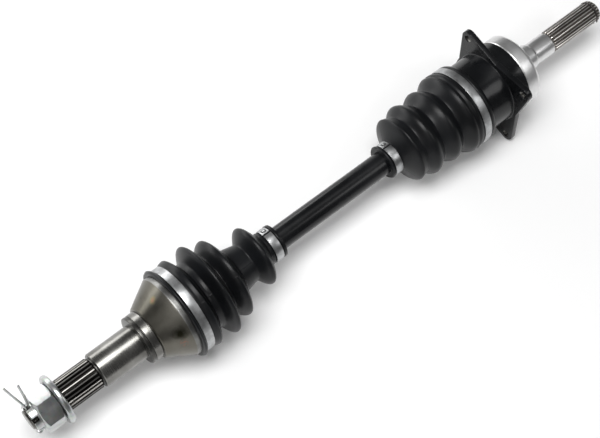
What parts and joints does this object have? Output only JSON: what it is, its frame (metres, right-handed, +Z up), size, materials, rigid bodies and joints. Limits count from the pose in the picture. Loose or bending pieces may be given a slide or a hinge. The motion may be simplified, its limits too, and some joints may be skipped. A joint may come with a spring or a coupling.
{
  "type": "cv axle",
  "caption": "Half shaft with a fixed ball joint and splined, threaded stub at the wheel end, and a plunging ball joint with an eared disc flange and splined stub inboard.",
  "frame": {"origin": "on the axle's own axis, halfway between the cotter pin's long leg and the inboard stub's tip, which is the centre of the bounding box", "axes": "+X along the straight axle towards the inboard stub, +Z up with the flange's ears at 45 degrees to it, +Y completes the frame"},
  "size_m": [0.6721, 0.0894, 0.0894],
  "materials": {
    "machined_steel": "machined and forged steel, lightly oiled",
    "black_paint": "semi-gloss black",
    "zinc_plate": "bright zinc plate",
    "boot_rubber": "satin moulded rubber",
    "clamp_band": "satin stainless band",
    "bearing_steel": "ground and polished, greased",
    "spring_steel": "dark oiled wire"
  },
  "bodies": {
    "inner_housing": {"inner_joint_housing": "black_paint", "disc_flange": "black_paint", "inner_boot_large_clamp": "clamp_band", "cup_stop_ring": "spring_steel", "stub_circlip": "spring_steel"},
    "inner_boot": {"inner_boot": "boot_rubber"},
    "inner_ball_lower": {"inner_ball_4": "bearing_steel"},
    "inner_cage": {"inner_cage": "bearing_steel", "inner_ball_2": "bearing_steel", "inner_ball_3": "bearing_steel", "inner_ball_5": "bearing_steel", "inner_ball_6": "bearing_steel"},
    "inner_ball_upper": {"inner_ball_1": "bearing_steel"},
    "axle_shaft": {"axle_bar": "black_paint", "inner_joint_race": "bearing_steel", "inner_race_circlip": "spring_steel", "inner_boot_small_clamp": "clamp_band", "outer_boot_small_clamp": "clamp_band", "outer_joint_race": "bearing_steel", "outer_race_circlip": "spring_steel"},
    "outer_ball_upper": {"outer_ball_1": "bearing_steel"},
    "outer_cage": {"outer_cage": "bearing_steel", "outer_ball_2": "bearing_steel", "outer_ball_3": "bearing_steel", "outer_ball_5": "bearing_steel", "outer_ball_6": "bearing_steel"},
    "outer_ball_lower": {"outer_ball_4": "bearing_steel"},
    "outer_hub": {"outer_joint_housing": "machined_steel", "hub_washer": "zinc_plate", "castle_nut": "zinc_plate", "cotter_pin": "zinc_plate", "outer_boot": "boot_rubber", "outer_boot_large_clamp": "clamp_band"}
  },
  "joints": [
    {"name": "inner_pitch_shaft_side", "type": "hinge", "parent": "axle_shaft", "child": "inner_ball_upper", "pos_m": [0.1942, 0, 0], "axis": [0, 1, 0], "range_deg": [-8, 8]},
    {"name": "inner_yaw_shaft_side", "type": "hinge", "parent": "inner_ball_upper", "child": "inner_cage", "pos_m": [0.1942, 0, 0], "axis": [0, 0, 1], "range_deg": [-6, 6]},
    {"name": "inner_yaw_cup_side", "type": "hinge", "parent": "inner_cage", "child": "inner_ball_lower", "pos_m": [0.1942, 0, 0], "axis": [0, 0, 1], "range_deg": [-6, 6]},
    {"name": "inner_pitch_cup_side", "type": "hinge", "parent": "inner_ball_lower", "child": "inner_boot", "pos_m": [0.1942, 0, 0], "axis": [0, 1, 0], "range_deg": [-8, 8]},
    {"name": "inner_plunge", "type": "slide", "parent": "inner_boot", "child": "inner_housing", "axis": [1, 0, 0], "range_m": [-0.012, 0.012], "deforming": ["inner_boot"]},
    {"name": "outer_pitch_shaft_side", "type": "hinge", "parent": "axle_shaft", "child": "outer_ball_upper", "pos_m": [-0.1748, 0, 0], "axis": [0, 1, 0], "range_deg": [-10, 10], "deforming": ["outer_boot"]},
    {"name": "outer_yaw_shaft_side", "type": "hinge", "parent": "outer_ball_upper", "child": "outer_cage", "pos_m": [-0.1748, 0, 0], "axis": [0, 0, 1], "range_deg": [-18, 18]},
    {"name": "outer_yaw_bell_side", "type": "hinge", "parent": "outer_cage", "child": "outer_ball_lower", "pos_m": [-0.1748, 0, 0], "axis": [0, 0, 1], "range_deg": [-18, 18]},
    {"name": "outer_pitch_bell_side", "type": "hinge", "parent": "outer_ball_lower", "child": "outer_hub", "pos_m": [-0.1748, 0, 0], "axis": [0, 1, 0], "range_deg": [-10, 10]}
  ],
  "couplings": [
    {"joint": "inner_yaw_cup_side", "follows": "inner_yaw_shaft_side", "ratio": 1},
    {"joint": "inner_pitch_cup_side", "follows": "inner_pitch_shaft_side", "ratio": 1},
    {"joint": "outer_yaw_bell_side", "follows": "outer_yaw_shaft_side", "ratio": 1},
    {"joint": "outer_pitch_bell_side", "follows": "outer_pitch_shaft_side", "ratio": 1}
  ]
}
